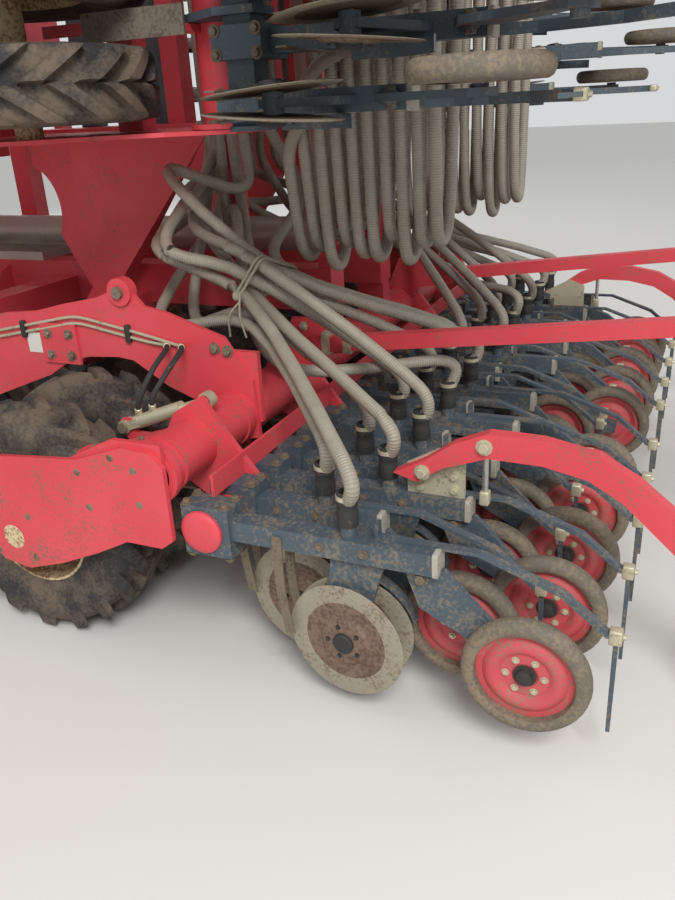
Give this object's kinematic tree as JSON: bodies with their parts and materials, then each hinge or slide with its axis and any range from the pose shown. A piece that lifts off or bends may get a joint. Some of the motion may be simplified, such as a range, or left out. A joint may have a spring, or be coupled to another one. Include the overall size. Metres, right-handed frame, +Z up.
{
  "type": "folded seed drill",
  "caption": "Trailed pneumatic seed drill with packer tyres, compact discs, disc coulters and press wheels, its two side sections folded up for the road.",
  "frame": {"origin": "floor point midway along the machine's length and width", "axes": "+X to the machine's right, +Y towards the hitch, +Z up"},
  "size_m": [3, 7.9998, 2.999],
  "materials": {
    "red_paint": "satin",
    "dark_paint": "satin",
    "steel": "matte",
    "zinc": "satin",
    "tyre": "matte",
    "hose": "matte"
  },
  "bodies": {
    "frame": {"main_frame": "red_paint", "drawbar": "red_paint", "seed_tank": "red_paint", "metering_unit": "dark_paint", "fan_housing": "dark_paint", "tower_frame": "red_paint", "distributor": "steel", "platform": "zinc", "centre_hoses": "hose", "left_hoses": "hose", "right_hoses": "hose", "centre_disc_gang": "dark_paint", "centre_discs": "steel", "light_bars": "red_paint"},
    "coulter_frame": {"coulter_bar": "red_paint", "coulter_arms": "dark_paint", "seed_discs": "steel", "marker_arms": "red_paint"},
    "front_press_wheels": {"press_wheels_front": "red_paint"},
    "rear_press_wheels": {"press_wheels_rear": "red_paint"},
    "lift_barrel_pair": {"lift_barrels": "zinc"},
    "lift_rod_pair": {"lift_rods": "zinc"},
    "left_packer": {"centre_left_tyres": "tyre", "centre_left_axle": "zinc"},
    "right_packer": {"centre_right_tyres": "tyre", "centre_right_axle": "zinc"},
    "leg": {"parking_leg": "zinc"},
    "lid": {"tank_lid": "dark_paint"},
    "fan_wheel": {"fan_rotor": "steel"},
    "left_wing": {"left_wing_frame": "red_paint", "left_disc_gang": "dark_paint", "left_discs": "steel", "left_coulters": "dark_paint", "left_seed_discs": "steel"},
    "left_wing_packer": {"left_tyres": "tyre", "left_axle": "zinc"},
    "left_wing_press_front": {"left_press_front": "red_paint"},
    "left_wing_press_rear": {"left_press_rear": "red_paint"},
    "left_fold_barrel": {"left_fold_barrel": "zinc"},
    "left_fold_rod": {"left_fold_rod": "zinc"},
    "right_wing": {"right_wing_frame": "red_paint", "right_disc_gang": "dark_paint", "right_discs": "steel", "right_coulters": "dark_paint", "right_seed_discs": "steel"},
    "right_wing_packer": {"right_tyres": "tyre", "right_axle": "zinc"},
    "right_wing_press_front": {"right_press_front": "red_paint"},
    "right_wing_press_rear": {"right_press_rear": "red_paint"},
    "right_fold_barrel": {"right_fold_barrel": "zinc"},
    "right_fold_rod": {"right_fold_rod": "zinc"}
  },
  "joints": [
    {"name": "coulter_lift", "type": "hinge", "parent": "frame", "child": "coulter_frame", "pos_m": [0, -2.175, 0.66], "axis": [1, 0, 0], "range_deg": [0, 5.5], "deforming": ["centre_hoses"]},
    {"name": "front_press_roll", "type": "hinge", "parent": "coulter_frame", "child": "front_press_wheels", "pos_m": [0, -3.02, 0.272], "axis": [1, 0, 0], "continuous": true},
    {"name": "rear_press_roll", "type": "hinge", "parent": "coulter_frame", "child": "rear_press_wheels", "pos_m": [0, -3.22, 0.272], "axis": [1, 0, 0], "continuous": true},
    {"name": "lift_barrel_pivot", "type": "hinge", "parent": "frame", "child": "lift_barrel_pair", "pos_m": [0, -1.9, 0.67], "axis": [1, 0, 0], "range_deg": [0, 1.4]},
    {"name": "lift_rod_slide", "type": "slide", "parent": "lift_barrel_pair", "child": "lift_rod_pair", "axis": [0, -0.9376, 0.3478], "range_m": [0, 0.0105]},
    {"name": "left_packer_roll", "type": "hinge", "parent": "frame", "child": "left_packer", "pos_m": [0, -1.65, 0.39], "axis": [1, 0, 0], "continuous": true},
    {"name": "right_packer_roll", "type": "hinge", "parent": "frame", "child": "right_packer", "pos_m": [0, -1.65, 0.39], "axis": [1, 0, 0], "continuous": true},
    {"name": "leg_slide", "type": "slide", "parent": "frame", "child": "leg", "axis": [0, 0, 1], "range_m": [0, 0.3]},
    {"name": "lid_hinge", "type": "hinge", "parent": "frame", "child": "lid", "pos_m": [0, 1.428, 2.785], "axis": [-1, 0, 0], "range_deg": [0, 80]},
    {"name": "fan_spin", "type": "hinge", "parent": "frame", "child": "fan_wheel", "pos_m": [0, 1.77, 1.145], "axis": [1, 0, 0], "continuous": true},
    {"name": "left_fold", "type": "hinge", "parent": "frame", "child": "left_wing", "pos_m": [-0.75, -1.65, 0.75], "axis": [0, -1, 0], "range_deg": [0, 90], "deforming": ["left_hoses"]},
    {"name": "left_wing_packer_roll", "type": "hinge", "parent": "left_wing", "child": "left_wing_packer", "pos_m": [-1.11, -1.65, 0], "axis": [0, 0, 1], "continuous": true},
    {"name": "left_wing_front_press_roll", "type": "hinge", "parent": "left_wing", "child": "left_wing_press_front", "pos_m": [-1.228, -3.02, 0], "axis": [0, 0, 1], "continuous": true},
    {"name": "left_wing_rear_press_roll", "type": "hinge", "parent": "left_wing", "child": "left_wing_press_rear", "pos_m": [-1.228, -3.22, 0], "axis": [0, 0, 1], "continuous": true},
    {"name": "left_fold_barrel_pivot", "type": "hinge", "parent": "frame", "child": "left_fold_barrel", "pos_m": [-0.42, -0.6, 0.8], "axis": [0, -1, 0], "range_deg": [0, 66]},
    {"name": "left_fold_rod_slide", "type": "slide", "parent": "left_fold_barrel", "child": "left_fold_rod", "axis": [-0.311, 0, 0.9504], "range_m": [0, 0.357]},
    {"name": "right_fold", "type": "hinge", "parent": "frame", "child": "right_wing", "pos_m": [0.75, -1.65, 0.75], "axis": [0, 1, 0], "range_deg": [0, 90], "deforming": ["right_hoses"]},
    {"name": "right_wing_packer_roll", "type": "hinge", "parent": "right_wing", "child": "right_wing_packer", "pos_m": [1.11, -1.65, 0], "axis": [0, 0, 1], "continuous": true},
    {"name": "right_wing_front_press_roll", "type": "hinge", "parent": "right_wing", "child": "right_wing_press_front", "pos_m": [1.228, -3.02, 0], "axis": [0, 0, 1], "continuous": true},
    {"name": "right_wing_rear_press_roll", "type": "hinge", "parent": "right_wing", "child": "right_wing_press_rear", "pos_m": [1.228, -3.22, 0], "axis": [0, 0, 1], "continuous": true},
    {"name": "right_fold_barrel_pivot", "type": "hinge", "parent": "frame", "child": "right_fold_barrel", "pos_m": [0.42, -0.6, 0.8], "axis": [0, 1, 0], "range_deg": [0, 66]},
    {"name": "right_fold_rod_slide", "type": "slide", "parent": "right_fold_barrel", "child": "right_fold_rod", "axis": [0.311, 0, 0.9504], "range_m": [0, 0.357]}
  ],
  "couplings": [
    {"joint": "lift_barrel_pivot", "follows": "coulter_lift", "ratio": 0.236},
    {"joint": "lift_rod_slide", "follows": "coulter_lift", "m_per_rad": 0.102},
    {"joint": "left_fold_barrel_pivot", "follows": "left_fold", "ratio": 0.7309},
    {"joint": "left_fold_rod_slide", "follows": "left_fold", "m_per_rad": 0.22706},
    {"joint": "right_fold_barrel_pivot", "follows": "right_fold", "ratio": 0.7309},
    {"joint": "right_fold_rod_slide", "follows": "right_fold", "m_per_rad": 0.22706}
  ]
}
